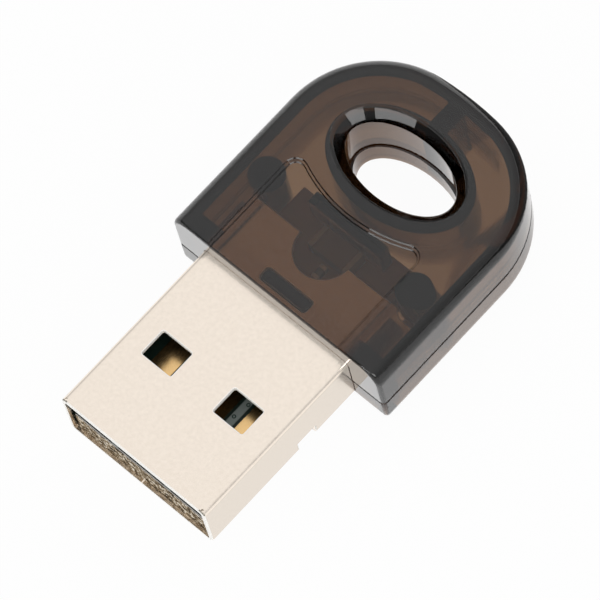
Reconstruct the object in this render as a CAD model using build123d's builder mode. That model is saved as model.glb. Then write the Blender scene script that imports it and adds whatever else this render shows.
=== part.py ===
# USB Bluetooth adapter: a metal USB-A plug held in a ring-shaped see-through plastic housing.
# Millimetres. X across the plug, +Y from the plug's mouth to the key-ring end, +Z up.
# The origin is at the middle of the footprint, on the surface that the adapter lies on.
import os
from math import sqrt

from build123d import *

os.makedirs("parts", exist_ok=True)

# Plug shell, folded from one sheet of steel
plug_width = 12.0
plug_height = 4.5
plug_sheet = 0.3
plug_bend = 0.5
plug_reach = 12.86
plug_grip = 4.54
seam_gap = 0.08
window_width = 2.45
window_length = 2.0
window_start = 5.33
window_offset = 2.98
window_corner = 0.15
mouth_round = 0.12
corner_pit_radius = 0.1
corner_pit_depth = 0.15
corner_pit_inset = 0.3
corner_pit_setback = 0.18
edge_notch_start = 7.8
edge_notch_length = 1.55
edge_notch_height = 1.15
edge_notch_width = 0.5
latch_width = 3.8
latch_length = 0.95
latch_setback = 0.62
latch_corner = 0.25
rear_notch_radius = 1.95

# Housing, two shells that meet at a parting line
housing_width = 17.2
housing_length = 17.91
side_corner_radius = 7.0
rear_radius = 23.0
front_corner_radius = 0.3
plastic_over_plug = 1.5
plastic_under_plug = 0.95
parting_drop = 0.3
wall = 1.25
front_wall = 1.5
roof = 1.40
floor = 0.70
top_round = 1.6
bottom_round = 1.2
parting_bevel = 0.12
lip_thickness = 0.45
lip_height = 0.5
fit_gap = 0.05

# Recessed panel on the top
panel_width = 10.9
panel_reach = 7.0
panel_corner = 0.85
panel_corner_rise = 0.09
panel_depth = 0.3
panel_slope = 39

# Key-ring hole
ring_hole_setback = 11.5
ring_hole_half_x = 4.12
ring_hole_half_y = 2.33
ring_bevel_x = 0.88
ring_bevel_y = 0.83
ring_bevel_depth = 0.97
ring_tube_wall = 1.25

# Posts, pins and ribs inside the housing
post_offset = 6.12
post_setback = 6.0
post_radius = 1.2
pin_radius = 0.6
pin_length = 1.2
pin_gap = 0.05
rear_rib_width = 1.35
clamp_rib_width = 5.9
clamp_rib_length = 0.85
clamp_rib_setback = 6.3
guide_width = 1.1
guide_length = 2.9
board_rest_width = 0.9
board_rest_offset = 3.4
board_rest_length = 2.2

# Circuit board, thick enough to be the plug's tongue
board_thickness = 1.86
board_width = 11.0
board_recess = 0.25
board_tail_width = 9.5
board_tail_length = 2.95
board_seat_gap = 0.03
tongue_chamfer = 0.09

# Contact pads
pad_thickness = 0.04
outer_pad_width = 1.6
outer_pad_offset = 3.5
outer_pad_start = 0.9
inner_pad_width = 1.46
inner_pad_offset = 1.0
inner_pad_start = 1.9
pad_corner = 0.2

# Radio chip
chip_size = 5.0
chip_height = 0.85
chip_chamfer = 0.08
chip_setback = 12.3
chip_lead_width = 0.22
chip_lead_pitch = 0.5
chip_lead_count = 8
chip_lead_height = 0.2
chip_lead_reach = 0.05
chip_dimple_radius = 0.3
chip_dimple_inset = 0.8
chip_dimple_depth = 0.08

# Crystal
crystal_width = 2.0
crystal_length = 2.5
crystal_tray_height = 0.4
crystal_lid_inset = 0.12
crystal_lid_height = 0.15
crystal_offset = 4.0
crystal_setback = 10.6

# Voltage regulator
regulator_width = 1.4
regulator_length = 2.8
regulator_height = 1.0
regulator_chamfer = 0.1
regulator_lift = 0.1
regulator_lead_width = 0.4
regulator_lead_reach = 0.45
regulator_lead_pitch = 1.9
regulator_lead_sheet = 0.15
regulator_offset = 4.2
regulator_setback = 11.0

# Capacitors and resistors
small_width = 0.5
small_length = 1.0
small_height = 0.5
small_waist_step = 0.03
resistor_height = 0.35
supply_setback = 13.6
supply_pitch = 1.4
supply_offset = 3.7
part_spacing = 0.3

# Antenna and the solder that grounds the shell
antenna_width = 3.2
antenna_length = 1.6
antenna_height = 1.1
antenna_band_width = 0.35
solder_length = 1.6
solder_height = 0.7
solder_width = 0.8
solder_hollow = 0.13

# Places and levels that follow from the sizes above
mouth_y = -(plug_reach + housing_length) / 2
front_y = mouth_y + plug_reach
rear_y = front_y + housing_length
plug_end_y = front_y + plug_grip
plug_mid_z = plastic_under_plug + plug_height / 2
plug_top_z = plug_mid_z + plug_height / 2
top_z = plug_top_z + plastic_over_plug
parting_z = plug_mid_z - parting_drop
roof_z = top_z - roof
board_bottom_z = plug_mid_z - plug_height / 2 + plug_sheet + board_seat_gap
board_top_z = board_bottom_z + board_thickness
ring_hole_y = front_y + ring_hole_setback
post_y = front_y + post_setback
latch_y = front_y + latch_setback + latch_length / 2
clamp_rib_y = front_y + clamp_rib_setback + clamp_rib_length / 2
board_tail_end_y = plug_end_y + board_tail_length
shell_inner_x = plug_width / 2 - plug_sheet
chip_y = mouth_y + chip_setback
crystal_y = mouth_y + crystal_setback
load_capacitor_y = crystal_y + crystal_length / 2 + part_spacing + small_length / 2
regulator_y = mouth_y + regulator_setback
resistor_y = chip_y - chip_size / 2 - part_spacing - small_length / 2
pad_end_y = resistor_y - small_length / 2 - part_spacing
supply_y = mouth_y + supply_setback
antenna_y = clamp_rib_y - clamp_rib_length / 2 - part_spacing / 2 - antenna_length / 2
inductor_y = antenna_y - antenna_length / 2 - part_spacing - small_length / 2


def housing_outline(inset, front_inset):
    """Straight sides, a rounded corner each side and a shallow rear arc, all drawn inwards by inset."""
    half = housing_width / 2 - inset
    corner_x = housing_width / 2 - side_corner_radius
    rear_centre_y = rear_y - rear_radius
    reach = rear_radius - side_corner_radius
    corner_y = rear_centre_y + sqrt(reach**2 - corner_x**2)
    joint_x = corner_x / reach * (rear_radius - inset)
    joint_y = rear_centre_y + (corner_y - rear_centre_y) / reach * (rear_radius - inset)
    start_y = front_y + front_inset
    with BuildSketch(mode=Mode.PRIVATE) as outline:
        with BuildLine():
            Line((-half, start_y), (half, start_y))
            Line((half, start_y), (half, corner_y))
            TangentArc((half, corner_y), (joint_x, joint_y), tangent=(0, 1))
            ThreePointArc((joint_x, joint_y), (0, rear_y - inset), (-joint_x, joint_y))
            TangentArc((-half, corner_y), (-joint_x, joint_y), tangent=(0, 1))
            Line((-half, corner_y), (-half, start_y))
        make_face()
    return outline.sketch


def panel_outline():
    """The recessed panel: open at the front, two rounded corners and a hollow arc around the ring hole."""
    half = panel_width / 2
    arc_y = front_y + panel_reach
    corner_x = half - panel_corner
    corner_y = arc_y + panel_corner_rise
    arc_radius = (corner_x**2 + panel_corner_rise**2 - panel_corner**2) / (2 * (panel_corner + panel_corner_rise))
    arc_centre_y = arc_y + arc_radius
    share = arc_radius / (arc_radius + panel_corner)
    joint_x = corner_x * share
    joint_y = arc_centre_y + (corner_y - arc_centre_y) * share
    open_y = front_y - panel_corner
    with BuildSketch(mode=Mode.PRIVATE) as outline:
        with BuildLine():
            Line((-half, open_y), (half, open_y))
            Line((half, open_y), (half, corner_y))
            TangentArc((half, corner_y), (joint_x, joint_y), tangent=(0, 1))
            ThreePointArc((joint_x, joint_y), (0, arc_y), (-joint_x, joint_y))
            TangentArc((-half, corner_y), (-joint_x, joint_y), tangent=(0, 1))
            Line((-half, corner_y), (-half, open_y))
        make_face()
    return outline.sketch


def plug_section(margin):
    """Rounded section of the plug, grown by margin, drawn on an upright plane."""
    with BuildSketch(mode=Mode.PRIVATE) as section:
        RectangleRounded(plug_width + 2 * margin, plug_height + 2 * margin, plug_bend + margin)
    return section.sketch


def upright_plane(y):
    """Plane across the plug at y, facing the key-ring end, with its centre at the plug's mid height."""
    return Plane(origin=(0, y, plug_mid_z), x_dir=(-1, 0, 0), z_dir=(0, 1, 0))


def save(part, label):
    part.label = label
    export_step(part, f"parts/{label}.step")


# Upper housing: roof, walls and everything that hangs from the roof
with BuildPart() as upper_housing:
    with BuildSketch(Plane.XY.offset(parting_z)):
        add(housing_outline(0, 0))
    extrude(amount=top_z - parting_z)
    roof_rim = upper_housing.faces().sort_by(Axis.Z)[-1].edges()
    fillet(roof_rim.filter_by(lambda edge: edge.center().Y > front_y + front_corner_radius), top_round)
    front_rim = upper_housing.faces().sort_by(Axis.Y)[0].edges()
    fillet(front_rim.filter_by(lambda edge: edge.center().Z > parting_z + fit_gap), front_corner_radius)
    with BuildSketch(Plane.XY.offset(parting_z)):
        add(housing_outline(wall, front_wall))
    extrude(amount=roof_z - parting_z, mode=Mode.SUBTRACT)
    # posts, rear rib and the wall around the key-ring hole run from the roof to the parting line
    with BuildSketch(Plane.XY.offset(parting_z)):
        with Locations((-post_offset, post_y), (post_offset, post_y)):
            Circle(post_radius)
        with Locations((0, ring_hole_y)):
            Ellipse(ring_hole_half_x + ring_tube_wall, ring_hole_half_y + ring_tube_wall)
        with Locations((0, (ring_hole_y + ring_hole_half_y + rear_y) / 2)):
            Rectangle(rear_rib_width, rear_y - ring_hole_y - ring_hole_half_y - wall)
    extrude(amount=roof_z - parting_z)
    with BuildSketch(Plane.XY.offset(parting_z)):
        with Locations((-post_offset, post_y), (post_offset, post_y)):
            Circle(pin_radius)
    extrude(amount=-pin_length)
    # rib that holds the board's tail down
    with BuildSketch(Plane.XY.offset(board_top_z + fit_gap)):
        with Locations((0, clamp_rib_y)):
            Rectangle(clamp_rib_width, clamp_rib_length)
    extrude(amount=roof_z - board_top_z - fit_gap)
    # recess for the lower housing's lip
    with BuildSketch(Plane.XY.offset(parting_z)):
        add(housing_outline(wall - lip_thickness - fit_gap, front_wall))
        add(housing_outline(wall, front_wall), mode=Mode.SUBTRACT)
    extrude(amount=lip_height + fit_gap, mode=Mode.SUBTRACT)
    # tunnel for the plug, and the latch that drops into its slot
    with BuildSketch(upright_plane(front_y - front_wall)):
        add(plug_section(fit_gap))
    extrude(amount=2 * front_wall + latch_setback, mode=Mode.SUBTRACT)
    with BuildSketch(Plane.XY.offset(plug_top_z - plug_sheet)):
        with Locations((0, latch_y)):
            RectangleRounded(latch_width - 4 * fit_gap, latch_length - 4 * fit_gap, latch_corner)
    extrude(amount=top_z - panel_depth - roof / 2 - plug_top_z + plug_sheet)
    with BuildSketch(Plane.XY.offset(top_z)):
        add(panel_outline())
    extrude(amount=-panel_depth, taper=panel_slope, mode=Mode.SUBTRACT)
    # key-ring hole with its bevelled rim
    with BuildSketch(Plane.XY.offset(parting_z)):
        with Locations((0, ring_hole_y)):
            Ellipse(ring_hole_half_x, ring_hole_half_y)
    extrude(amount=top_z - parting_z, mode=Mode.SUBTRACT)
    with BuildSketch(Plane.XY.offset(top_z - ring_bevel_depth)):
        with Locations((0, ring_hole_y)):
            Ellipse(ring_hole_half_x, ring_hole_half_y)
    with BuildSketch(Plane.XY.offset(top_z)):
        with Locations((0, ring_hole_y)):
            Ellipse(ring_hole_half_x + ring_bevel_x, ring_hole_half_y + ring_bevel_y)
    loft(mode=Mode.SUBTRACT)
save(upper_housing.part, "upper_housing")

# Lower housing: floor, walls, sockets for the upper housing's pins and rests for the board
with BuildPart() as lower_housing:
    with BuildSketch():
        add(housing_outline(0, 0))
    extrude(amount=parting_z)
    fillet(lower_housing.faces().sort_by(Axis.Z)[0].edges(), bottom_round)
    front_corners = lower_housing.faces().sort_by(Axis.Y)[0].edges().filter_by(Axis.Z)
    fillet(front_corners, front_corner_radius)
    chamfer(lower_housing.faces().sort_by(Axis.Z)[-1].edges(), parting_bevel)
    with BuildSketch(Plane.XY.offset(floor)):
        add(housing_outline(wall, front_wall))
    extrude(amount=parting_z - floor, mode=Mode.SUBTRACT)
    with BuildSketch(Plane.XY.offset(floor)):
        with Locations((-post_offset, post_y), (post_offset, post_y)):
            Circle(post_radius)
        with Locations((0, ring_hole_y)):
            Ellipse(ring_hole_half_x + ring_tube_wall, ring_hole_half_y + ring_tube_wall)
        with Locations((0, (ring_hole_y + ring_hole_half_y + rear_y) / 2)):
            Rectangle(rear_rib_width, rear_y - ring_hole_y - ring_hole_half_y - wall)
    extrude(amount=parting_z - floor)
    # guides beside the plug
    guide_x = plug_width / 2 + fit_gap + guide_width / 2
    with BuildSketch(Plane.XY.offset(floor)):
        with Locations((-guide_x, front_y + front_wall + guide_length / 2),
                       (guide_x, front_y + front_wall + guide_length / 2)):
            Rectangle(guide_width, guide_length)
    extrude(amount=parting_z - floor)
    # rests under the board's tail
    with BuildSketch(Plane.XY.offset(floor)):
        with Locations((-board_rest_offset, board_tail_end_y - board_rest_length / 2),
                       (board_rest_offset, board_tail_end_y - board_rest_length / 2)):
            Rectangle(board_rest_width, board_rest_length)
    extrude(amount=board_bottom_z - fit_gap - floor)
    # lip that locates the upper housing
    with BuildSketch(Plane.XY.offset(parting_z)):
        add(housing_outline(wall - lip_thickness, front_wall))
        add(housing_outline(wall, front_wall), mode=Mode.SUBTRACT)
    extrude(amount=lip_height)
    with BuildSketch(upright_plane(front_y - front_wall)):
        add(plug_section(fit_gap))
    extrude(amount=2 * front_wall + latch_setback, mode=Mode.SUBTRACT)
    with BuildSketch(Plane.XY.offset(parting_z)):
        with Locations((-post_offset, post_y), (post_offset, post_y)):
            Circle(pin_radius + pin_gap)
    extrude(amount=-pin_length - fit_gap, mode=Mode.SUBTRACT)
    with BuildSketch():
        with Locations((0, ring_hole_y)):
            Ellipse(ring_hole_half_x, ring_hole_half_y)
    extrude(amount=parting_z, mode=Mode.SUBTRACT)
    chamfer(lower_housing.edges(Select.LAST).sort_by(Axis.Z)[-1], parting_bevel)
    with BuildSketch():
        with Locations((0, ring_hole_y)):
            Ellipse(ring_hole_half_x + ring_bevel_x, ring_hole_half_y + ring_bevel_y)
    with BuildSketch(Plane.XY.offset(ring_bevel_depth)):
        with Locations((0, ring_hole_y)):
            Ellipse(ring_hole_half_x, ring_hole_half_y)
    loft(mode=Mode.SUBTRACT)
save(lower_housing.part, "lower_housing")

# Plug shell: one sheet folded round, with a seam along the middle of its underside
with BuildPart() as usb_shell:
    with BuildSketch(upright_plane(mouth_y)):
        add(plug_section(0))
        add(plug_section(-plug_sheet), mode=Mode.SUBTRACT)
    extrude(amount=plug_reach + plug_grip)
    mouth_edges = usb_shell.faces().sort_by(Axis.Y)[0].outer_wire().edges()
    fillet(mouth_edges, mouth_round)
    # small round pit that the folding tool leaves at each upper corner of the mouth
    pit_x = plug_width / 2 - corner_pit_inset
    with BuildSketch(Plane.XY.offset(plug_top_z)):
        with Locations((-pit_x, mouth_y + corner_pit_setback), (pit_x, mouth_y + corner_pit_setback)):
            Circle(corner_pit_radius)
    extrude(amount=-corner_pit_depth, mode=Mode.SUBTRACT)
    # two windows in the top and two in the underside
    with BuildSketch():
        with Locations((-window_offset, mouth_y + window_start + window_length / 2),
                       (window_offset, mouth_y + window_start + window_length / 2)):
            RectangleRounded(window_width, window_length, window_corner)
    extrude(amount=top_z, mode=Mode.SUBTRACT)
    # latch slot and the round notch in the rear edge, both in the top sheet only
    with BuildSketch(Plane.XY.offset(plug_mid_z)):
        with Locations((0, latch_y)):
            RectangleRounded(latch_width, latch_length, latch_corner)
        with Locations((0, plug_end_y)):
            Circle(rear_notch_radius)
    extrude(amount=plug_height, mode=Mode.SUBTRACT)
    # notches in the two lower bends
    with BuildSketch():
        with Locations((-plug_width / 2, mouth_y + edge_notch_start + edge_notch_length / 2),
                       (plug_width / 2, mouth_y + edge_notch_start + edge_notch_length / 2)):
            Rectangle(2 * edge_notch_width, edge_notch_length)
    extrude(amount=plastic_under_plug + edge_notch_height, mode=Mode.SUBTRACT)
    with BuildSketch():
        with Locations((0, (mouth_y + plug_end_y) / 2)):
            Rectangle(seam_gap, plug_end_y - mouth_y)
    extrude(amount=plug_mid_z, mode=Mode.SUBTRACT)
save(usb_shell.part, "usb_shell")

# Circuit board: the wide part is the tongue inside the shell, the narrow part is the tail behind it
with BuildPart() as circuit_board:
    with BuildSketch(Plane.XY.offset(board_bottom_z)):
        with Locations((0, (mouth_y + board_recess + plug_end_y) / 2)):
            Rectangle(board_width, plug_end_y - mouth_y - board_recess)
        with Locations((0, plug_end_y + board_tail_length / 2)):
            Rectangle(board_tail_width, board_tail_length)
    extrude(amount=board_thickness)
    tongue_edge = circuit_board.faces().sort_by(Axis.Y)[0].edges().sort_by(Axis.Z)[-1]
    chamfer(tongue_edge, tongue_chamfer)
save(circuit_board.part, "circuit_board")


def save_pad(label, x, width, start):
    """Gold pad on the tongue, with its front corners rounded."""
    with BuildPart() as pad:
        with BuildSketch(Plane.XY.offset(board_top_z)):
            with Locations((x, (mouth_y + start + pad_end_y) / 2)):
                RectangleRounded(width, pad_end_y - mouth_y - start, pad_corner)
        extrude(amount=pad_thickness)
    save(pad.part, label)


save_pad("contact_pad_power", -outer_pad_offset, outer_pad_width, outer_pad_start)
save_pad("contact_pad_data_minus", -inner_pad_offset, inner_pad_width, inner_pad_start)
save_pad("contact_pad_data_plus", inner_pad_offset, inner_pad_width, inner_pad_start)
save_pad("contact_pad_ground", outer_pad_offset, outer_pad_width, outer_pad_start)

# Radio chip: square moulded body with a row of flush leads along each side
with BuildPart() as radio_chip:
    with BuildSketch(Plane.XY.offset(board_top_z)):
        with Locations((0, chip_y)):
            Rectangle(chip_size, chip_size)
    extrude(amount=chip_height)
    chamfer(radio_chip.faces().sort_by(Axis.Z)[-1].edges(), chip_chamfer)
    with BuildSketch(Plane.XY.offset(board_top_z)):
        with Locations((0, chip_y)):
            with GridLocations(chip_lead_pitch, 0, chip_lead_count, 1):
                Rectangle(chip_lead_width, chip_size + 2 * chip_lead_reach)
            with GridLocations(0, chip_lead_pitch, 1, chip_lead_count):
                Rectangle(chip_size + 2 * chip_lead_reach, chip_lead_width)
    extrude(amount=chip_lead_height)
    with BuildSketch(Plane.XY.offset(board_top_z + chip_height)):
        with Locations((chip_dimple_inset - chip_size / 2, chip_y + chip_size / 2 - chip_dimple_inset)):
            Circle(chip_dimple_radius)
    extrude(amount=-chip_dimple_depth, mode=Mode.SUBTRACT)
save(radio_chip.part, "radio_chip")

# Crystal: ceramic tray with a metal lid set in from its edge
with BuildPart() as crystal:
    with BuildSketch(Plane.XY.offset(board_top_z)):
        with Locations((-crystal_offset, crystal_y)):
            Rectangle(crystal_width, crystal_length)
    extrude(amount=crystal_tray_height)
    with BuildSketch(Plane.XY.offset(board_top_z + crystal_tray_height)):
        with Locations((-crystal_offset, crystal_y)):
            RectangleRounded(crystal_width - 2 * crystal_lid_inset, crystal_length - 2 * crystal_lid_inset,
                             crystal_lid_inset)
    extrude(amount=crystal_lid_height)
save(crystal.part, "crystal")

# Voltage regulator: moulded body with three bent leads
with BuildPart() as voltage_regulator:
    with BuildSketch(Plane.XY.offset(board_top_z + regulator_lift)):
        with Locations((regulator_offset, regulator_y)):
            Rectangle(regulator_width, regulator_length)
    extrude(amount=regulator_height - regulator_lift)
    chamfer(voltage_regulator.faces().sort_by(Axis.Z)[-1].edges(), regulator_chamfer)
    # each lead has a foot on the board and a knee against the body
    for reach, height in ((regulator_lead_reach, regulator_lead_sheet), (regulator_lead_sheet, regulator_height / 2)):
        lead_x = regulator_width / 2 + reach / 2
        with BuildSketch(Plane.XY.offset(board_top_z)):
            with Locations((regulator_offset - lead_x, regulator_y - regulator_lead_pitch / 2),
                           (regulator_offset - lead_x, regulator_y + regulator_lead_pitch / 2),
                           (regulator_offset + lead_x, regulator_y)):
                Rectangle(reach, regulator_lead_width)
        extrude(amount=height)
save(voltage_regulator.part, "voltage_regulator")


def save_block_component(label, x, y, width, length, height):
    """Small ceramic part with plated ends that stand a little proud of its waist."""
    end_length = length / 4
    with BuildPart() as block:
        with BuildSketch(Plane.XY.offset(board_top_z)):
            with Locations((x, y)):
                with GridLocations(0, length - end_length, 1, 2):
                    Rectangle(width, end_length)
        extrude(amount=height)
        with BuildSketch(Plane.XY.offset(board_top_z)):
            with Locations((x, y)):
                Rectangle(width - 2 * small_waist_step, length)
        extrude(amount=height - small_waist_step)
    save(block.part, label)


save_block_component("data_resistor_left", -inner_pad_offset, resistor_y, small_width, small_length,
                     resistor_height)
save_block_component("data_resistor_right", inner_pad_offset, resistor_y, small_width, small_length,
                     resistor_height)
save_block_component("crystal_capacitor_left", -crystal_offset - small_width, load_capacitor_y, small_width,
                     small_length, small_height)
save_block_component("crystal_capacitor_right", -crystal_offset + small_width, load_capacitor_y, small_width,
                     small_length, small_height)
for row in range(2):
    for column in range(2):
        save_block_component(f"supply_capacitor_{2 * row + column + 1}", supply_offset + 2 * column * small_width,
                             supply_y + row * supply_pitch, small_width, small_length, small_height)

# Antenna on the tail, clear of the metal shell, and the inductor that feeds it
with BuildPart() as chip_antenna:
    with BuildSketch(Plane.XY.offset(board_top_z)):
        with Locations((0, antenna_y)):
            with GridLocations(antenna_width - antenna_band_width, 0, 2, 1):
                Rectangle(antenna_band_width, antenna_length)
    extrude(amount=antenna_height)
    with BuildSketch(Plane.XY.offset(board_top_z)):
        with Locations((0, antenna_y)):
            Rectangle(antenna_width, antenna_length - pad_thickness)
    extrude(amount=antenna_height - pad_thickness)
save(chip_antenna.part, "chip_antenna")
save_block_component("matching_inductor", 0, inductor_y, small_width, small_length, small_height)

# Solder fillets between the board's top and the shell's side walls, at the shell's rear end
for side, label in ((-1, "solder_joint_left"), (1, "solder_joint_right")):
    with BuildPart() as solder_joint:
        with BuildSketch(upright_plane(plug_end_y - solder_length)):
            with BuildLine():
                corner = (-side * shell_inner_x, board_top_z - plug_mid_z)
                board_foot = (-side * (shell_inner_x - solder_width), board_top_z - plug_mid_z)
                wall_top = (-side * shell_inner_x, board_top_z - plug_mid_z + solder_height)
                Line(corner, board_foot)
                SagittaArc(board_foot, wall_top, -side * solder_hollow)
                Line(wall_top, corner)
            make_face()
        extrude(amount=solder_length)
    save(solder_joint.part, label)
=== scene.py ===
import math

import bmesh
import bpy
from mathutils import Matrix, Vector, noise


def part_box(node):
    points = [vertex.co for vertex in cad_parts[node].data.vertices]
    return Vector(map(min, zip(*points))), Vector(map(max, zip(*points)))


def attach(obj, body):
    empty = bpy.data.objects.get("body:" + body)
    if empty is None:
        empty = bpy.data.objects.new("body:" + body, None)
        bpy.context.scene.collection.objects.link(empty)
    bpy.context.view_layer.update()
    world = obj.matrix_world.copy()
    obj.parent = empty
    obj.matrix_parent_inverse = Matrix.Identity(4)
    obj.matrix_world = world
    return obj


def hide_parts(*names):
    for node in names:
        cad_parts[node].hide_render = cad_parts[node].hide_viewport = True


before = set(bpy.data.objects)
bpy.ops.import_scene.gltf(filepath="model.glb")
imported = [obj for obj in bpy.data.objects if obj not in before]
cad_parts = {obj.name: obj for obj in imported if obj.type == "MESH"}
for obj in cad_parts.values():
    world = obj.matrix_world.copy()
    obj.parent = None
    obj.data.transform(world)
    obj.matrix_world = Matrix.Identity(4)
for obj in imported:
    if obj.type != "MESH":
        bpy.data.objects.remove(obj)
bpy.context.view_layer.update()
MM = 0.001

# The camera: a long lens that looks down on the adapter from the right of the plug's mouth, and is
# rolled so that the plug points to the lower left. It aims at a point behind the mouth.
shell_low, shell_high = (Vector(corner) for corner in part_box("usb_shell"))
mouth_y = shell_low.y
camera_aim = Vector((0.09 * MM, mouth_y + 14.635 * MM, 3.32 * MM))
camera_azimuth = math.radians(57.83)
camera_elevation = math.radians(65.24)
camera_roll = math.radians(-16.73)
camera_distance = 390.6 * MM
camera_data = bpy.data.cameras.new("camera")
camera_data.sensor_width = 36.0
camera_data.lens = 383.45
camera_data.clip_start = 0.01
camera_data.clip_end = 10.0
camera = bpy.data.objects.new("camera", camera_data)
bpy.context.scene.collection.objects.link(camera)
view_back = Vector((
    math.sin(camera_azimuth) * math.cos(camera_elevation),
    -math.cos(camera_azimuth) * math.cos(camera_elevation),
    math.sin(camera_elevation),
))
level_right = Vector((math.cos(camera_azimuth), math.sin(camera_azimuth), 0.0))
level_up = view_back.cross(level_right)
view_right = math.cos(camera_roll) * level_right + math.sin(camera_roll) * level_up
view_up = math.cos(camera_roll) * level_up - math.sin(camera_roll) * level_right
camera_turn = Matrix((view_right, view_up, view_back)).transposed().to_4x4()
camera.matrix_world = Matrix.Translation(camera_aim + camera_distance * view_back) @ camera_turn
bpy.context.scene.camera = camera
bpy.context.scene.view_settings.view_transform = "Standard"

# Upper housing: one injection moulding in smoky see-through polycarbonate, polished outside. It
# presses onto the lower housing with two pins. Its small arrises bend the light aside; they, the ring
# hole's bevel and a strip above the parting line carry painted shade, a near-black base colour.


def new_material(name):
    """A named material, its nodes, its links and its Principled BSDF."""
    material = bpy.data.materials.new(name)
    material.use_nodes = True
    tree = material.node_tree
    return material, tree.nodes, tree.links, tree.nodes["Principled BSDF"]


def add_node(nodes, kind, inputs=None, **settings):
    """A new shader node with its settings and its unlinked inputs."""
    node = nodes.new(kind)
    for name, value in settings.items():
        setattr(node, name, value)
    for name, value in (inputs or {}).items():
        node.inputs[name].default_value = value
    return node


def new_group(name, inputs, outputs):
    """An empty shader group with named sockets, and its own input and output nodes."""
    group = bpy.data.node_groups.new(name, "ShaderNodeTree")
    for socket, kind in inputs:
        group.interface.new_socket(socket, in_out="INPUT", socket_type=kind)
    for socket, kind in outputs:
        group.interface.new_socket(socket, in_out="OUTPUT", socket_type=kind)
    return group, group.nodes.new("NodeGroupInput"), group.nodes.new("NodeGroupOutput")


# fine grain that any finish can take: a value, a roughness between two limits and a bumped normal
grain, grain_in, grain_out = new_group(
    "surface grain",
    [("Vector", "NodeSocketVector"), ("Scale", "NodeSocketFloat"), ("Smoothest", "NodeSocketFloat"),
     ("Roughest", "NodeSocketFloat"), ("Bump", "NodeSocketFloat"), ("Depth", "NodeSocketFloat")],
    [("Value", "NodeSocketFloat"), ("Roughness", "NodeSocketFloat"), ("Normal", "NodeSocketVector")],
)
grain_noise = add_node(grain.nodes, "ShaderNodeTexNoise", {"Detail": 5.0, "Roughness": 0.6})
grain_range = add_node(grain.nodes, "ShaderNodeMapRange", {"From Min": 0.3, "From Max": 0.7})
grain_bump = add_node(grain.nodes, "ShaderNodeBump")
for source, socket in ((grain_in.outputs["Vector"], grain_noise.inputs["Vector"]),
                       (grain_in.outputs["Scale"], grain_noise.inputs["Scale"]),
                       (grain_noise.outputs["Fac"], grain_range.inputs["Value"]),
                       (grain_in.outputs["Smoothest"], grain_range.inputs["To Min"]),
                       (grain_in.outputs["Roughest"], grain_range.inputs["To Max"]),
                       (grain_noise.outputs["Fac"], grain_bump.inputs["Height"]),
                       (grain_in.outputs["Bump"], grain_bump.inputs["Strength"]),
                       (grain_in.outputs["Depth"], grain_bump.inputs["Distance"]),
                       (grain_noise.outputs["Fac"], grain_out.inputs["Value"]),
                       (grain_range.outputs["Result"], grain_out.inputs["Roughness"]),
                       (grain_bump.outputs["Normal"], grain_out.inputs["Normal"])):
    grain.links.new(source, socket)


def add_grain(nodes, links, shader, scale, smoothest, roughest, bump, depth, coordinates=None):
    """Places the grain group on a shader's roughness and normal, and gives back the group node."""
    if coordinates is None:
        coordinates = nodes.new("ShaderNodeTexCoord").outputs["Object"]
    values = {"Scale": scale, "Smoothest": smoothest, "Roughest": roughest, "Bump": bump, "Depth": depth}
    marks = nodes.new("ShaderNodeGroup")
    marks.node_tree = grain
    for name, value in values.items():
        marks.inputs[name].default_value = value
    links.new(coordinates, marks.inputs["Vector"])
    links.new(marks.outputs["Roughness"], shader.inputs["Roughness"])
    links.new(marks.outputs["Normal"], shader.inputs["Normal"])
    return marks


def add_tones(nodes, links, value, *stops):
    """A colour that runs through the stops, each a position and a tone, as value rises."""
    ramp = nodes.new("ShaderNodeValToRGB")
    for element, (position, tone) in zip(ramp.color_ramp.elements, (stops[0], stops[-1])):
        element.position = position
        element.color = (*tone, 1.0)
    for position, tone in stops[1:-1]:
        ramp.color_ramp.elements.new(position).color = (*tone, 1.0)
    links.new(value, ramp.inputs["Fac"])
    return ramp.outputs["Color"]


def mix_tone(nodes, links, share, first, second):
    """The first colour where share is 0 and the second, a socket or a tone, where it is 1."""
    blend = add_node(nodes, "ShaderNodeMix", data_type="RGBA")
    links.new(share, blend.inputs["Factor"])
    for colour, socket in ((first, blend.inputs["A"]), (second, blend.inputs["B"])):
        if isinstance(colour, tuple):
            socket.default_value = (*colour, 1.0)
        else:
            links.new(colour, socket)
    return blend.outputs["Result"]


def face_mark(nodes, name):
    """The value of a mark that a piece's faces carry, 0 on a piece without it."""
    return add_node(nodes, "ShaderNodeAttribute", attribute_name=name).outputs["Fac"]


def merged_copy(node, *marks):
    """A bmesh of a CAD node with its doubles merged, its flat faces made whole and empty face marks."""
    shape = bmesh.new()
    shape.from_mesh(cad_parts[node].data)
    bmesh.ops.remove_doubles(shape, verts=shape.verts, dist=0.0005 * MM)
    bmesh.ops.dissolve_limit(shape, angle_limit=math.radians(0.5), verts=shape.verts, edges=shape.edges)
    for mark in marks:
        shape.faces.layers.float.new(mark)
    return shape


def mark_faces(shape, mark, value, chosen):
    """Gives the chosen faces a value of the mark."""
    layer = shape.faces.layers.float[mark]
    for face in shape.faces:
        if chosen(face.calc_center_median(), face.normal):
            face[layer] = value


def cut_faces(shape, axis, place, chosen):
    """Cuts the chosen faces straight across an axis, so that a mark can end there."""
    faces = [face for face in shape.faces if chosen(face.calc_center_median(), face.normal)]
    edges = [edge for face in faces for edge in face.edges]
    verts = [vert for face in faces for vert in face.verts]
    direction = Vector([float(letter == axis) for letter in "XYZ"])
    bmesh.ops.bisect_plane(shape, geom=list(dict.fromkeys(faces + edges + verts)), dist=0.0001 * MM,
                           plane_co=place * direction, plane_no=direction)


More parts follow.
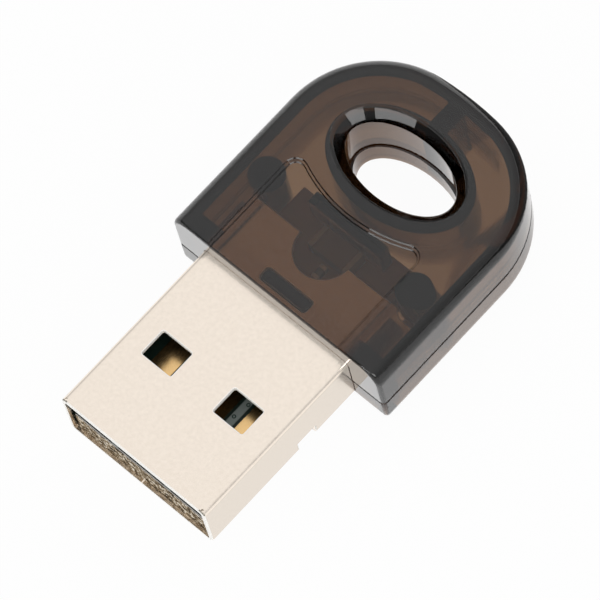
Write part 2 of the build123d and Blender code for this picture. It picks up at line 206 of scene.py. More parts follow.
def round_edges(shape, chosen, width, mark):
    """Rounds the sharp edges whose middle is chosen, and marks the faces of the rounding in full."""
    sharp = [
        edge for edge in shape.edges
        if edge.is_manifold and edge.calc_face_angle() > math.radians(22)
        and chosen((edge.verts[0].co + edge.verts[1].co) / 2)
    ]
    rounding = bmesh.ops.bevel(shape, geom=sharp, affect="EDGES", offset=width, offset_type="OFFSET",
                               segments=2, profile=0.5, material=-1, clamp_overlap=False)
    layer = shape.faces.layers.float[mark]
    for face in rounding["faces"]:
        face[layer] = 1.0


def outer_skin(shape, level):
    """A test for upright faces on the outside of a housing, whose outline is that of its points at level."""
    outline = [vert.co.copy() for vert in shape.verts if abs(vert.co.z - level) < level_fit]

    def is_outside(middle, normal):
        return abs(normal.z) < 0.2 and all((point - middle).dot(normal) < 0.03 * MM for point in outline)

    return is_outside


def add_piece(shape, name, slot, node, *materials):
    """Makes the shape a piece in place of a CAD node, smooth apart from its sharp edges."""
    mesh = bpy.data.meshes.new(name)
    for face in shape.faces:
        face.smooth = True
    for edge in shape.edges:
        edge.smooth = not edge.is_manifold or edge.calc_face_angle() < math.radians(35)
    shape.to_mesh(mesh)
    shape.free()
    for material in materials:
        mesh.materials.append(material)
    piece = bpy.data.objects.new(name, mesh)
    bpy.context.scene.collection.objects.link(piece)
    piece.modifiers.new("weighted normals", "WEIGHTED_NORMAL").keep_sharp = True
    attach(piece, "root")
    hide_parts(node)
    return piece


# clear polycarbonate with a smoky dye through its depth and faint flow marks on its skin
smoky_plastic, nodes, links, shader = new_material("smoky plastic")
shader.inputs["IOR"].default_value = 1.585
shader.inputs["Transmission Weight"].default_value = 1.0
shader.inputs["Coat Roughness"].default_value = 0.06
flow = add_grain(nodes, links, shader, scale=350.0, smoothest=0.015, roughest=0.045, bump=0.02,
                 depth=0.02 * MM)
clear_tone = add_tones(nodes, links, flow.outputs["Value"], (0.2, (0.97, 0.97, 0.97)),
                       (0.8, (1.0, 1.0, 1.0)))
# painted shade: a near-black base colour on the marked faces, for the dark look of arrises, the ring bevel
# and the parting seam
painted_shade_tone = (0.045, 0.03, 0.022)
tone_with_painted_shade = mix_tone(nodes, links, face_mark(nodes, "painted_shade"), clear_tone, painted_shade_tone)
links.new(tone_with_painted_shade, shader.inputs["Base Color"])
# the satin finish of the panel's step catches light as if it were nearly level
upward = add_node(nodes, "ShaderNodeVectorTransform", {"Vector": (0.0, 0.0, 1.0)}, vector_type="NORMAL",
                  convert_from="OBJECT", convert_to="WORLD")
soften = add_node(nodes, "ShaderNodeMix", data_type="VECTOR")
links.new(face_mark(nodes, "satin"), soften.inputs["Factor"])
links.new(flow.outputs["Normal"], soften.inputs["A"])
links.new(upward.outputs["Vector"], soften.inputs["B"])
links.new(soften.outputs["Result"], shader.inputs["Normal"])
links.new(face_mark(nodes, "polish"), shader.inputs["Coat Weight"])
dye = add_node(nodes, "ShaderNodeVolumeAbsorption", {"Color": (0.5, 0.335, 0.14, 1.0), "Density": 1960.0})
links.new(dye.outputs["Volume"], nodes["Material Output"].inputs["Volume"])

upper_low, upper_high = (Vector(corner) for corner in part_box("upper_housing"))
lip_height = 0.5 * MM
parting_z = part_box("lower_housing")[1][2] - lip_height
front_y = upper_low.y
panel_depth = 0.3 * MM
panel_floor = upper_high.z - panel_depth
panel_half_width = 5.45 * MM
step_lean = math.sin(math.radians(39))
side_arris_x = 8.2 * MM
hole_y = front_y + 11.5 * MM
hole_half_x = 4.12 * MM
hole_half_y = 2.33 * MM
ring_bevel_x = 0.88 * MM
ring_bevel_y = 0.83 * MM
ring_bevel_depth = 0.97 * MM
throat_top = upper_high.z - ring_bevel_depth
# the height of a painted dark line (painted shade) at the foot and the head of the panel's step, and above
# the parting line
step_line = 0.08 * MM
seam_line = 0.1 * MM
recess_edge_round = 0.15 * MM
# two places or heights this close are the same level
level_fit = 0.01 * MM


def hole_reach(point):
    """How far out from the key-ring hole's middle a point is: 1 on the throat's wall."""
    return math.hypot(point.x / hole_half_x, (point.y - hole_y) / hole_half_y)


def on_panel_step(middle, normal):
    """The sloping step round the recessed panel."""
    return abs(normal.z - step_lean) < 0.03 and middle.z > panel_floor


def on_step_slope(middle, normal):
    """The step apart from the painted dark lines at its foot and head."""
    return on_panel_step(middle, normal) and panel_floor + step_line < middle.z < upper_high.z - step_line


def on_front_arris(middle, normal):
    """The outer half of the rounding along the top of the front."""
    return 0.02 < normal.z < 0.6 and normal.y < -0.3 and middle.z > panel_floor - 0.05 * MM


def on_upright_arris(middle, normal):
    """The middle of the upright rounding at each front corner."""
    return abs(normal.z) < 0.1 and normal.y < -0.4 and abs(normal.x) > 0.4 and abs(middle.x) > side_arris_x


def on_ring_bevel(middle, normal):
    """The sloping bevel round the key-ring hole."""
    return hole_reach(middle) < 1.4 and normal.z < 0.99 and middle.z > throat_top + level_fit


def hole_turn(point):
    """How far round the key-ring hole a point is."""
    return math.atan2((point.y - hole_y) / hole_half_y, point.x / hole_half_x) % (2 * math.pi)


def join_rings(shape, below, above):
    """Joins two rings of points round the hole by triangles."""
    below_turns = [hole_turn(vert.co) for vert in below] + [hole_turn(below[0].co) + 2 * math.pi, math.inf]
    above_turns = [hole_turn(vert.co) for vert in above] + [hole_turn(above[0].co) + 2 * math.pi, math.inf]
    first, second = 0, 0
    while first < len(below) or second < len(above):
        corners = [below[first % len(below)], above[second % len(above)]]
        if below_turns[first + 1] <= above_turns[second + 1]:
            first += 1
            corners.append(below[first % len(below)])
        else:
            second += 1
            corners.append(above[second % len(above)])
        shape.faces.new(corners)


def rebuild_ring_bevel(shape):
    """Replaces the bevel by even rings of faces with a rounded rim and a rounded edge to the throat."""
    old_faces = [face for face in shape.faces if on_ring_bevel(face.calc_center_median(), face.normal)]
    bmesh.ops.delete(shape, geom=old_faces, context="FACES")
    open_points = {vert for edge in shape.edges if edge.is_boundary for vert in edge.verts}
    throat = [vert for vert in open_points if vert.co.z < throat_top + level_fit]
    rim = [vert for vert in open_points if vert.co.z > upper_high.z - level_fit]
    rings = [sorted(throat, key=lambda vert: hole_turn(vert.co))]
    ring_points = 144
    turns = [(step + 0.5) * 2 * math.pi / ring_points for step in range(ring_points)]
    # how far out and how far up each ring lies, as shares of the way from the throat to the rim
    for out, up in ((0.02, 0.04), (0.06, 0.10), (0.13, 0.19), (0.34, 0.41), (0.56, 0.63), (0.74, 0.82),
                    (0.81, 0.89), (0.88, 0.945), (0.94, 0.98), (0.975, 0.996)):
        half_x = hole_half_x + out * ring_bevel_x
        half_y = hole_half_y + out * ring_bevel_y
        height = throat_top + up * ring_bevel_depth
        rings.append([shape.verts.new((half_x * math.cos(turn), hole_y + half_y * math.sin(turn), height))
                      for turn in turns])
    rings.append(sorted(rim, key=lambda vert: hole_turn(vert.co)))
    for below, above in zip(rings, rings[1:]):
        join_rings(shape, below, above)
    bmesh.ops.recalc_face_normals(shape, faces=shape.faces)


def on_front_wall(middle, normal):
    """The wall that the plug comes out of."""
    return normal.y < -0.95 and middle.y < front_y + 0.05 * MM


def on_recess_edge(point):
    """The edge where the recessed panel runs out at the front."""
    return (abs(point.z - panel_floor) < level_fit and point.y < front_y + 0.2 * MM
            and abs(point.x) < panel_half_width - 0.2 * MM)


upper = merged_copy("upper_housing", "painted_shade", "satin", "polish")
on_outer_wall = outer_skin(upper, parting_z)
for height in (panel_floor + step_line, upper_high.z - step_line):
    cut_faces(upper, "Z", height, on_panel_step)
rebuild_ring_bevel(upper)
cut_faces(upper, "Z", parting_z + seam_line, on_outer_wall)
mark_faces(upper, "polish", 0.25, on_outer_wall)
mark_faces(upper, "polish", 1.0, on_front_wall)
mark_faces(upper, "satin", 0.75, on_step_slope)
# painted shade: dark lines at the foot and head of the panel's step, on the ring bevel, along the front's
# arrises and just above the parting line
mark_faces(upper, "painted_shade", 1.0, on_panel_step)
mark_faces(upper, "painted_shade", 0.0, on_step_slope)
mark_faces(upper, "painted_shade", 0.85, on_ring_bevel)
mark_faces(upper, "painted_shade", 0.9, on_front_arris)
mark_faces(upper, "painted_shade", 0.9, on_upright_arris)
mark_faces(upper, "painted_shade", 1.0, lambda middle, normal: on_outer_wall(middle, normal)
           and middle.z < parting_z + seam_line)
# the recess's front edge is rounded, and its rounding carries painted shade in full
round_edges(upper, on_recess_edge, recess_edge_round, "painted_shade")
add_piece(upper, "upper_housing_rounded", "smoky_plastic", "upper_housing", smoky_plastic)

# Lower housing: the second moulding in the same plastic, a tray with sockets for the pins, rests for
# the board and a lip that the upper housing drops over. A groove with painted shade in it makes the dark
# line where the two shells meet.
parting_bevel = 0.12 * MM
bevel_foot = parting_z - parting_bevel
lower = merged_copy("lower_housing", "painted_shade", "polish")
on_tray_wall = outer_skin(lower, bevel_foot)
# the wall takes a coat at the sides and painted shade round the key-ring end
painted_shade = lower.faces.layers.float["painted_shade"]
polish = lower.faces.layers.float["polish"]
for face in lower.faces:
    if on_tray_wall(face.calc_center_median(), face.normal):
        rearward = min(max(face.normal.y / 0.5, 0.0), 1.0)
        face[painted_shade] = 0.6 * rearward
        face[polish] = 0.5 * (1.0 - rearward)
# the bevel round the tray's top opens into a groove, outside and in the key-ring hole's throat
contact = [face for face in lower.faces if abs(face.calc_center_median().z - parting_z) < 0.001 * MM]
bmesh.ops.triangulate(lower, faces=contact)
groove_drop = 0.12 * MM
groove_edge_drop = 0.2 * MM
contact_gap = 0.005 * MM
feet = [vert for vert in lower.verts if abs(vert.co.z - bevel_foot) < 0.001 * MM]
heads = [vert for vert in lower.verts if abs(vert.co.z - parting_z) < 0.001 * MM]
inner = [vert for vert in heads if not any(edge.other_vert(vert) in feet for edge in vert.link_edges)]
for vert in feet:
    vert.co.z -= groove_drop
for vert in heads:
    vert.co.z -= contact_gap if vert in inner else groove_edge_drop
# the tray's part of the throat stands in a little as a ledge
throat_ledge = 0.12 * MM
for vert in lower.verts:
    if abs(hole_reach(vert.co) - 1.0) < 0.01 and ring_bevel_depth - level_fit < vert.co.z < bevel_foot:
        vert.co.x *= 1.0 - throat_ledge / hole_half_x
        vert.co.y = hole_y + (vert.co.y - hole_y) * (1.0 - throat_ledge / hole_half_y)
lower.normal_update()
# painted shade on the groove's faces
mark_faces(lower, "painted_shade", 1.0, lambda middle, normal: normal.z > 0.5
           and bevel_foot - groove_drop < middle.z < parting_z - contact_gap - 0.002 * MM)
add_piece(lower, "lower_housing_rounded", "smoky_plastic", "lower_housing", smoky_plastic)

# Plug shell: one strip of steel, stamped, folded round and seamed underneath, then nickel plated. The
# cut edges and rounded rims carry a painted highlight, a pale, less metallic tone, and the inside, the
# corner pits and a little of the outer sides carry painted shade.
nickel, nodes, links, shader = new_material("nickel plate")
plate = add_grain(nodes, links, shader, scale=4000.0, smoothest=0.17, roughest=0.25, bump=0.10,
                  depth=0.006 * MM)
face_tone = add_tones(nodes, links, plate.outputs["Value"], (0.3, (0.91, 0.81, 0.705)),
                      (0.7, (0.97, 0.87, 0.765)))
# painted highlight on the rims, then painted shade over the inside
rim_highlight_tone = mix_tone(nodes, links, face_mark(nodes, "painted_rim_highlight"), face_tone, (0.97, 0.95, 0.91))
plate_tone = mix_tone(nodes, links, face_mark(nodes, "painted_shell_shade"), rim_highlight_tone, (0.26, 0.24, 0.20))
links.new(plate_tone, shader.inputs["Base Color"])
rim_roughness = add_node(nodes, "ShaderNodeMath", {1: 0.25}, operation="MULTIPLY_ADD")
links.new(face_mark(nodes, "painted_rim_highlight"), rim_roughness.inputs[0])
links.new(plate.outputs["Roughness"], rim_roughness.inputs[2])
links.new(rim_roughness.outputs[0], shader.inputs["Roughness"])
rim_metal = add_node(nodes, "ShaderNodeMath", {1: -0.7, 2: 1.0}, operation="MULTIPLY_ADD")
links.new(face_mark(nodes, "painted_rim_highlight"), rim_metal.inputs[0])
links.new(rim_metal.outputs[0], shader.inputs["Metallic"])
sheet_thickness = 0.3 * MM
# how far into the mouth the inside is left without painted shade
unshaded_mouth_depth = 0.8 * MM
pit_end = 0.5 * MM
window_reach = 5.0 * MM
cut_edge_round = 0.06 * MM


def on_outer_rim(point):
    """The outer rims of the mouth, windows, slots and notches, but not those of the mouth's small pits."""
    return ((point.z > shell_high.z - level_fit or point.z < shell_low.z + level_fit
             or abs(point.x) > shell_high.x - level_fit)
            and not mouth_y + 0.02 * MM < point.y < mouth_y + pit_end)


def in_corner_pit(middle, normal):
    """The small pits at the mouth's upper corners."""
    return (abs(middle.x) > shell_high.x - 2 * sheet_thickness and middle.z > shell_high.z - sheet_thickness
            and abs(normal.y) > 0.03 and mouth_y + 0.03 * MM < middle.y < mouth_y + pit_end)


def in_shell(middle, normal):
    """The hollow of the shell, apart from its floor and its sides next to the mouth: the faces that take
    painted shade.
    """
    return (abs(middle.x) < shell_high.x - 0.8 * sheet_thickness
            and shell_low.z + 1.2 * sheet_thickness < middle.z < shell_high.z - 0.8 * sheet_thickness
            and (normal.z < -0.5 or middle.y > mouth_y + unshaded_mouth_depth))


def on_outer_side(middle, normal):
    """The outside of the plug's left and right sides."""
    return abs(normal.x) > 0.9 and abs(middle.x) > shell_high.x - 0.1 * sheet_thickness


def on_window_wall(middle, normal):
    """The cut walls of the holes in the top."""
    return (abs(normal.z) < 0.3 and middle.z > shell_high.z - 0.9 * sheet_thickness
            and abs(middle.x) < window_reach)


def on_mouth_rim(middle, normal):
    """The cut end of the sheet round the mouth."""
    return normal.y < -0.3 and middle.y < mouth_y + 0.13 * MM


shell = merged_copy("usb_shell", "painted_rim_highlight", "painted_shell_shade")
cut_faces(shell, "Y", mouth_y + unshaded_mouth_depth,
          lambda middle, normal: abs(middle.x) < shell_high.x - 0.8 * sheet_thickness)
# painted shade inside the shell, in full in the corner pits and lightly on the outer sides; painted
# highlight on the mouth's cut end, the window walls and the rounded outer rims
mark_faces(shell, "painted_shell_shade", 1.0, in_shell)
mark_faces(shell, "painted_shell_shade", 0.2, on_outer_side)
mark_faces(shell, "painted_shell_shade", 1.0, in_corner_pit)
mark_faces(shell, "painted_rim_highlight", 1.0, on_mouth_rim)
mark_faces(shell, "painted_rim_highlight", 1.0, on_window_wall)
round_edges(shell, on_outer_rim, cut_edge_round, "painted_rim_highlight")
add_piece(shell, "usb_shell_rolled", "nickel_plated_steel", "usb_shell", nickel)

# Circuit board: woven glass fibre under a dark green solder mask, cut by a router that leaves the
# fibre ends bare and rough at the plug's mouth. The tail under the antenna carries no copper.


def object_place(nodes, links):
    """A point's place on the object, whole and parted into X, Y and Z."""
    place = nodes.new("ShaderNodeTexCoord").outputs["Object"]
    split = nodes.new("ShaderNodeSeparateXYZ")
    links.new(place, split.inputs["Vector"])
    return place, split.outputs


board_low, board_high = (Vector(corner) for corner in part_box("circuit_board"))
board_mask, nodes, links, shader = new_material("solder mask")
place, split = object_place(nodes, links)
add_grain(nodes, links, shader, scale=2500.0, smoothest=0.25, roughest=0.40, bump=0.15,
          depth=0.02 * MM, coordinates=place)
# copper under the mask shows as a lighter band on each side of the middle, and the right one carries
# two plated vias
band_centre = 2.2 * MM
across = add_node(nodes, "ShaderNodeMath", operation="ABSOLUTE")
offset = add_node(nodes, "ShaderNodeMath", {1: band_centre}, operation="SUBTRACT")
distance = add_node(nodes, "ShaderNodeMath", operation="ABSOLUTE")
band = add_node(nodes, "ShaderNodeMapRange", {"From Min": 0.32 * MM, "From Max": 0.22 * MM},
                interpolation_type="SMOOTHSTEP")
links.new(split["X"], across.inputs[0])
links.new(across.outputs[0], offset.inputs[0])
links.new(offset.outputs[0], distance.inputs[0])
links.new(distance.outputs[0], band.inputs["Value"])
colour = mix_tone(nodes, links, band.outputs["Result"], (0.012, 0.026, 0.02), (0.34, 0.39, 0.37))
via_places = ((2.13 * MM, mouth_y + 6.41 * MM), (2.30 * MM, mouth_y + 7.53 * MM))
via_radius = 0.16 * MM
for via_x, via_y in via_places:
    reach = add_node(nodes, "ShaderNodeVectorMath", {1: (via_x, via_y, board_high.z)}, operation="DISTANCE")
    near = add_node(nodes, "ShaderNodeMapRange", {"From Max": via_radius})
    links.new(place, reach.inputs[0])
    links.new(reach.outputs["Value"], near.inputs["Value"])
    ring = add_tones(nodes, links, near.outputs["Result"], (0.0, (0.0, 0.0, 0.0)), (0.35, (0.0, 0.0, 0.0)),
                     (0.5, (1.0, 1.0, 1.0)), (0.75, (1.0, 1.0, 1.0)), (0.95, (0.0, 0.0, 0.0)))
    colour = mix_tone(nodes, links, ring, colour, (0.01, 0.045, 0.035))
# bare laminate from just inside the shell's rear end backwards
tail_y = shell_high.y - 2.0 * MM
tail = add_node(nodes, "ShaderNodeMapRange", {"From Min": tail_y - 0.1 * MM, "From Max": tail_y + 0.1 * MM})
links.new(split["Y"], tail.inputs["Value"])
colour = mix_tone(nodes, links, tail.outputs["Result"], colour, (0.60, 0.32, 0.10))
links.new(colour, shader.inputs["Base Color"])
shader.inputs["Specular IOR Level"].default_value = 0.3

# the routed end: broken strands in rows, almost without gloss, under a bright cut corner
bare_fibre, nodes, links, shader = new_material("bare glass fibre")
shader.inputs["Specular IOR Level"].default_value = 0.1
shader.inputs["Roughness"].default_value = 0.8
rows = add_node(nodes, "ShaderNodeMapping", {"Scale": (2400.0, 9000.0, 2600.0)})
strands = add_node(nodes, "ShaderNodeTexNoise", {"Scale": 1.0, "Detail": 3.0, "Roughness": 0.8})
links.new(nodes.new("ShaderNodeTexCoord").outputs["Object"], rows.inputs["Vector"])
links.new(rows.outputs["Vector"], strands.inputs["Vector"])
strand_tone = add_tones(nodes, links, strands.outputs["Fac"], (0.40, (0.02, 0.014, 0.008)),
                        (0.46, (0.16, 0.11, 0.06)), (0.53, (0.34, 0.26, 0.16)), (0.60, (0.85, 0.78, 0.66)))
end_tone = mix_tone(nodes, links, face_mark(nodes, "corner"), strand_tone, (0.36, 0.34, 0.32))
links.new(end_tone, shader.inputs["Base Color"])
bump = add_node(nodes, "ShaderNodeBump", {"Strength": 0.6, "Distance": 0.03 * MM})
links.new(strands.outputs["Fac"], bump.inputs["Height"])
links.new(bump.outputs["Normal"], shader.inputs["Normal"])

routed_end = board_low.y + 0.1 * MM
end_face = board_low.y + 0.001 * MM
strand_depth = 0.06 * MM
board = merged_copy("circuit_board", "corner")
mark_faces(board, "corner", 1.0, lambda middle, normal: middle.y < routed_end and 0.3 < normal.z < 0.9)
for face in board.faces:
    if face.normal.y < -0.3 and face.calc_center_median().y < routed_end:
        face.material_index = 1
lengthwise = [edge for edge in board.edges if all(vert.co.y < routed_end for vert in edge.verts)
              and edge.calc_length() > 3.0 * MM]
bmesh.ops.subdivide_edges(board, edges=lengthwise, cuts=180, use_grid_fill=True)
upright = [edge for edge in board.edges if all(vert.co.y < end_face for vert in edge.verts)
           and abs(edge.verts[0].co.z - edge.verts[1].co.z) > 1.0 * MM]
bmesh.ops.subdivide_edges(board, edges=upright, cuts=26, use_grid_fill=True)
# broken strands: coarse and fine hollows in the end face
for vert in board.verts:
    if vert.co.y < end_face and vert.co.z > board_low.z + level_fit:
        coarse = noise.noise(Vector((vert.co.x / (0.45 * MM), 0.0, vert.co.z / (0.35 * MM))))
        fine = noise.noise(Vector((vert.co.x / (0.12 * MM), 5.0, vert.co.z / (0.25 * MM))))
        vert.co.y += strand_depth * min(max(0.5 + 0.6 * coarse + 0.4 * fine, 0.0), 1.0)
add_piece(board, "circuit_board_routed", "board", "circuit_board", board_mask, bare_fibre)

# Contact pads: copper plated with nickel and hard gold, etched on the board's tongue. Plugging wears
# fine lengthwise scratches into them.


def dress(node, material):
    """Gives a CAD node its material."""
    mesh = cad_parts[node].data
    mesh.materials.clear()
    mesh.materials.append(material)


gold, nodes, links, shader = new_material("gold plate")
shader.inputs["Metallic"].default_value = 1.0
stretch = add_node(nodes, "ShaderNodeMapping", {"Scale": (8.0, 1.0, 1.0)})
links.new(nodes.new("ShaderNodeTexCoord").outputs["Object"], stretch.inputs["Vector"])
scratches = add_grain(nodes, links, shader, scale=2200.0, smoothest=0.18, roughest=0.26, bump=0.03,
                      depth=0.005 * MM, coordinates=stretch.outputs["Vector"])
gold_tone = add_tones(nodes, links, scratches.outputs["Value"], (0.3, (0.84, 0.54, 0.23)),
                      (0.7, (0.93, 0.64, 0.31)))
links.new(gold_tone, shader.inputs["Base Color"])
for node in ("contact_pad_power", "contact_pad_data_minus", "contact_pad_data_plus", "contact_pad_ground"):
    dress(node, gold)

# Radio chip and voltage regulator: silicon moulded into black epoxy, matt and finely pitted. Their
# tinned leads are soldered to the board.
tinned_tone = (0.75, 0.75, 0.74)


def past_middle(nodes, links, split, axis, node, half):
    """1 where a point lies further than half from the middle of a CAD node along an axis."""
    low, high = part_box(node)
    middle = (low["XYZ".index(axis)] + high["XYZ".index(axis)]) / 2
    shift = add_node(nodes, "ShaderNodeMath", {1: middle}, operation="SUBTRACT")
    reach = add_node(nodes, "ShaderNodeMath", operation="ABSOLUTE")
    past = add_node(nodes, "ShaderNodeMath", {1: half}, operation="GREATER_THAN")
    links.new(split[axis], shift.inputs[0])
    links.new(shift.outputs[0], reach.inputs[0])
    links.new(reach.outputs[0], past.inputs[0])
    return past.outputs[0]


def make_leaded_resin(node, body_x, body_y):
    """Moulded resin that turns to tinned metal outside the body's sides."""
    material, nodes, links, shader = new_material("resin " + node)
    place, split = object_place(nodes, links)
    pits = add_grain(nodes, links, shader, scale=7000.0, smoothest=0.55, roughest=0.75, bump=0.35,
                     depth=0.02 * MM, coordinates=place)
    outside = add_node(nodes, "ShaderNodeMath", operation="MAXIMUM")
    moulding_step = 0.005 * MM
    links.new(past_middle(nodes, links, split, "X", node, body_x / 2 + moulding_step), outside.inputs[0])
    links.new(past_middle(nodes, links, split, "Y", node, body_y / 2 + moulding_step), outside.inputs[1])
    resin = add_tones(nodes, links, pits.outputs["Value"], (0.3, (0.012, 0.012, 0.012)),
                      (0.7, (0.035, 0.035, 0.036)))
    links.new(mix_tone(nodes, links, outside.outputs[0], resin, tinned_tone), shader.inputs["Base Color"])
    links.new(outside.outputs[0], shader.inputs["Metallic"])
    return material


dress("radio_chip", make_leaded_resin("radio_chip", body_x=5.0 * MM, body_y=5.0 * MM))
dress("voltage_regulator", make_leaded_resin("voltage_regulator", body_x=1.4 * MM, body_y=2.8 * MM))

# Crystal: the radio's clock, a quartz blank in a ceramic tray that a seam-welded metal lid closes. It
# is soldered to the board under its corners.
lid_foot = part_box("crystal")[1][2] - 0.149 * MM
lid, nodes, links, shader = new_material("crystal lid")
place, split = object_place(nodes, links)
brushing = add_grain(nodes, links, shader, scale=3000.0, smoothest=0.28, roughest=0.42, bump=0.2,
                     depth=0.01 * MM, coordinates=place)
on_lid = add_node(nodes, "ShaderNodeMath", {1: lid_foot}, operation="GREATER_THAN")
links.new(split["Z"], on_lid.inputs[0])
tray = add_tones(nodes, links, brushing.outputs["Value"], (0.3, (0.10, 0.095, 0.09)),
                 (0.7, (0.16, 0.15, 0.14)))
links.new(mix_tone(nodes, links, on_lid.outputs[0], tray, (0.74, 0.72, 0.68)), shader.inputs["Base Color"])
links.new(on_lid.outputs[0], shader.inputs["Metallic"])
dress("crystal", lid)

# Capacitors, resistors and the inductor: small fired ceramic blocks, with tinned ends that are
# soldered to the board.


def make_plated_block(node, first, second, smoothest, axis="Y", band_share=0.25):
    """Fired ceramic between two tones, with tinned ends that take band_share of the length each."""
    low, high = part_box(node)
    length = high["XYZ".index(axis)] - low["XYZ".index(axis)]
    material, nodes, links, shader = new_material("ceramic " + node)
    place, split = object_place(nodes, links)
    pores = add_grain(nodes, links, shader, scale=5000.0, smoothest=smoothest, roughest=smoothest + 0.2,
                      bump=0.2, depth=0.01 * MM, coordinates=place)
    plated = past_middle(nodes, links, split, axis, node, length * (0.5 - band_share))
    ceramic = add_tones(nodes, links, pores.outputs["Value"], (0.3, first), (0.7, second))
    links.new(mix_tone(nodes, links, plated, ceramic, tinned_tone), shader.inputs["Base Color"])
    links.new(plated, shader.inputs["Metallic"])
    return material


capacitors = ["crystal_capacitor_left", "crystal_capacitor_right"]
capacitors += [f"supply_capacitor_{number}" for number in range(1, 5)]
for node in capacitors:
    dress(node, make_plated_block(node, (0.42, 0.28, 0.17), (0.56, 0.40, 0.26), smoothest=0.45))
for node in ("data_resistor_left", "data_resistor_right"):
    dress(node, make_plated_block(node, (0.015, 0.015, 0.02), (0.04, 0.04, 0.045), smoothest=0.25))
dress("matching_inductor", make_plated_block("matching_inductor", (0.22, 0.24, 0.28), (0.34, 0.36, 0.42),
                                             smoothest=0.4))

# Chip antenna: a ceramic block with a plated band round each end. It is soldered to the board's
# copper-free tail, outside the metal shell.
antenna_length = 3.2
antenna_band = 0.35
dress("chip_antenna", make_plated_block("chip_antenna", (0.34, 0.21, 0.08), (0.42, 0.27, 0.11),
                                        smoothest=0.5, axis="X", band_share=antenna_band / antenna_length))

# Solder joints: two tin fillets, bright and a little wrinkled. They tie the shell to the board's
# ground and hold the two together.
solder, nodes, links, shader = new_material("solder")
shader.inputs["Metallic"].default_value = 1.0
wrinkles = add_grain(nodes, links, shader, scale=1800.0, smoothest=0.18, roughest=0.35, bump=0.4,
                     depth=0.03 * MM)
tin_tone = add_tones(nodes, links, wrinkles.outputs["Value"], (0.3, (0.60, 0.61, 0.62)),
                     (0.7, (0.78, 0.79, 0.80)))
links.new(tin_tone, shader.inputs["Base Color"])
for node in ("solder_joint_left", "solder_joint_right"):
    dress(node, solder)

# Floor: matt white paper. It shows as pure white behind the adapter and in its reflections, and
# keeps a faint shadow. A black sheet lies on it behind the key-ring end, seen only in reflections, and
# paints a dark reflection along the see-through plastic's edge, standing in for floor that lies in shade.


def add_stage_sheet(name, low_x, high_x, low_y, high_y, height):
    """A flat sheet of the studio, which isn't part of the object."""
    mesh = bpy.data.meshes.new(name)
    sheet = bmesh.new()
    bmesh.ops.create_grid(sheet, x_segments=1, y_segments=1, size=0.5)
    bmesh.ops.scale(sheet, vec=(high_x - low_x, high_y - low_y, 1.0), verts=sheet.verts)
    bmesh.ops.translate(sheet, vec=((low_x + high_x) / 2, (low_y + high_y) / 2, height), verts=sheet.verts)
    sheet.to_mesh(mesh)
    sheet.free()
    stage = bpy.data.objects.new(name, mesh)
    bpy.context.scene.collection.objects.link(stage)
    return stage


paper, nodes, links, shader = new_material("white paper")
shader.inputs["Base Color"].default_value = (0.8, 0.8, 0.8, 1.0)
shader.inputs["Roughness"].default_value = 0.9
# how far the paper glows white where the camera, a reflection or a see-through piece shows it
white_share = 0.96
glow = add_node(nodes, "ShaderNodeEmission", {"Color": (1.0, 1.0, 1.0, 1.0)})
path = nodes.new("ShaderNodeLightPath")
camera_or_glossy = add_node(nodes, "ShaderNodeMath", operation="MAXIMUM")
seen = add_node(nodes, "ShaderNodeMath", operation="MAXIMUM")
share = add_node(nodes, "ShaderNodeMath", {1: white_share}, operation="MULTIPLY")
blend = nodes.new("ShaderNodeMixShader")
links.new(path.outputs["Is Camera Ray"], camera_or_glossy.inputs[0])
links.new(path.outputs["Is Glossy Ray"], camera_or_glossy.inputs[1])
links.new(camera_or_glossy.outputs[0], seen.inputs[0])
links.new(path.outputs["Is Transmission Ray"], seen.inputs[1])
links.new(seen.outputs[0], share.inputs[0])
links.new(share.outputs[0], blend.inputs["Fac"])
links.new(shader.outputs[0], blend.inputs[1])
links.new(glow.outputs[0], blend.inputs[2])
links.new(blend.outputs[0], nodes["Material Output"].inputs["Surface"])
paper_reach = 1.5
floor = add_stage_sheet("floor", -paper_reach, paper_reach, -paper_reach, paper_reach, 0.0)
floor.data.materials.append(paper)

painted_reflection_card, nodes, links, shader = new_material("painted reflection card")
shader.inputs["Base Color"].default_value = (0.12, 0.12, 0.12, 1.0)
shader.inputs["Roughness"].default_value = 0.9
card_left = -6.0 * MM
card_front = upper_high.y + 0.7 * MM
card_reach = 150.0 * MM
card = add_stage_sheet("painted_reflection_card", card_left, card_reach, card_front, card_reach, 0.05 * MM)
card.data.materials.append(painted_reflection_card)
card.visible_camera = False
card.visible_diffuse = False
card.visible_transmission = False
card.visible_shadow = False

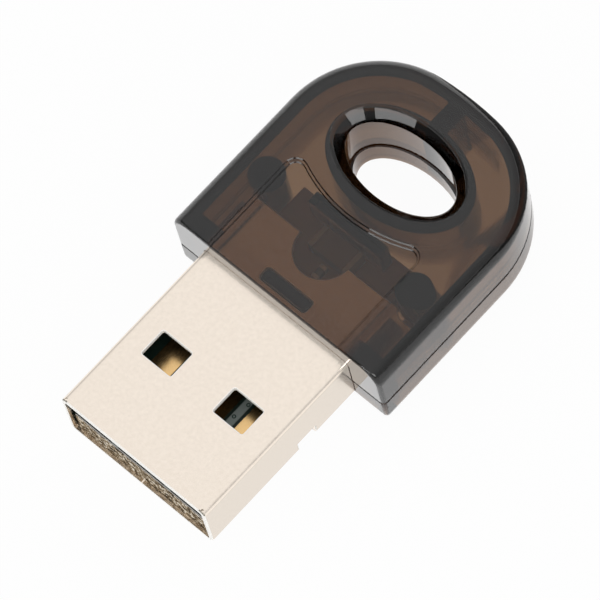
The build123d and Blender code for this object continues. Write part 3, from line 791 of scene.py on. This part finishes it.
# Light: a studio that is bright overhead and dimmer towards the horizon, darkest low in front, with
# two softboxes low in front and to the right, which the rim of the ring hole mirrors.
world = bpy.data.worlds.new("studio")
bpy.context.scene.world = world
world.use_nodes = True
nodes = world.node_tree.nodes
links = world.node_tree.links
direction = nodes.new("ShaderNodeTexCoord")
split = nodes.new("ShaderNodeSeparateXYZ")
horizon = add_node(nodes, "ShaderNodeMapRange",
                   {"From Min": -0.6, "From Max": 0.2, "To Min": 0.15, "To Max": 0.55})
height = add_node(nodes, "ShaderNodeMapRange", {"From Min": 0.05, "From Max": 0.75},
                  interpolation_type="SMOOTHSTEP")
overhead_strength = 0.93
strength = add_node(nodes, "ShaderNodeMix", {"B": overhead_strength})
links.new(direction.outputs["Generated"], split.inputs["Vector"])
links.new(split.outputs["Y"], horizon.inputs["Value"])
links.new(split.outputs["Z"], height.inputs["Value"])
links.new(height.outputs["Result"], strength.inputs["Factor"])
links.new(horizon.outputs["Result"], strength.inputs["A"])
links.new(strength.outputs["Result"], nodes["Background"].inputs["Strength"])
nodes["Background"].inputs["Color"].default_value = (1.0, 1.0, 1.0, 1.0)


def add_softbox(name, azimuth, elevation, width, height, radiance):
    """A rectangular lamp 1 m away that faces the adapter. Azimuth 0 is in front of the plug."""
    away = Vector((
        math.sin(math.radians(azimuth)) * math.cos(math.radians(elevation)),
        -math.cos(math.radians(azimuth)) * math.cos(math.radians(elevation)),
        math.sin(math.radians(elevation)),
    ))
    lamp_data = bpy.data.lights.new(name, "AREA")
    lamp_data.shape = "RECTANGLE"
    lamp_data.size = width
    lamp_data.size_y = height
    lamp_data.energy = math.pi * width * height * radiance
    lamp = bpy.data.objects.new(name, lamp_data)
    lamp.matrix_world = Matrix.Translation(away) @ away.to_track_quat("Z", "Y").to_matrix().to_4x4()
    lamp.visible_camera = False
    lamp.visible_transmission = False
    bpy.context.scene.collection.objects.link(lamp)


add_softbox("softbox_front", azimuth=9.5, elevation=12.0, width=0.71, height=0.30, radiance=3.0)
add_softbox("softbox_right", azimuth=69.0, elevation=20.0, width=0.75, height=0.30, radiance=3.0)
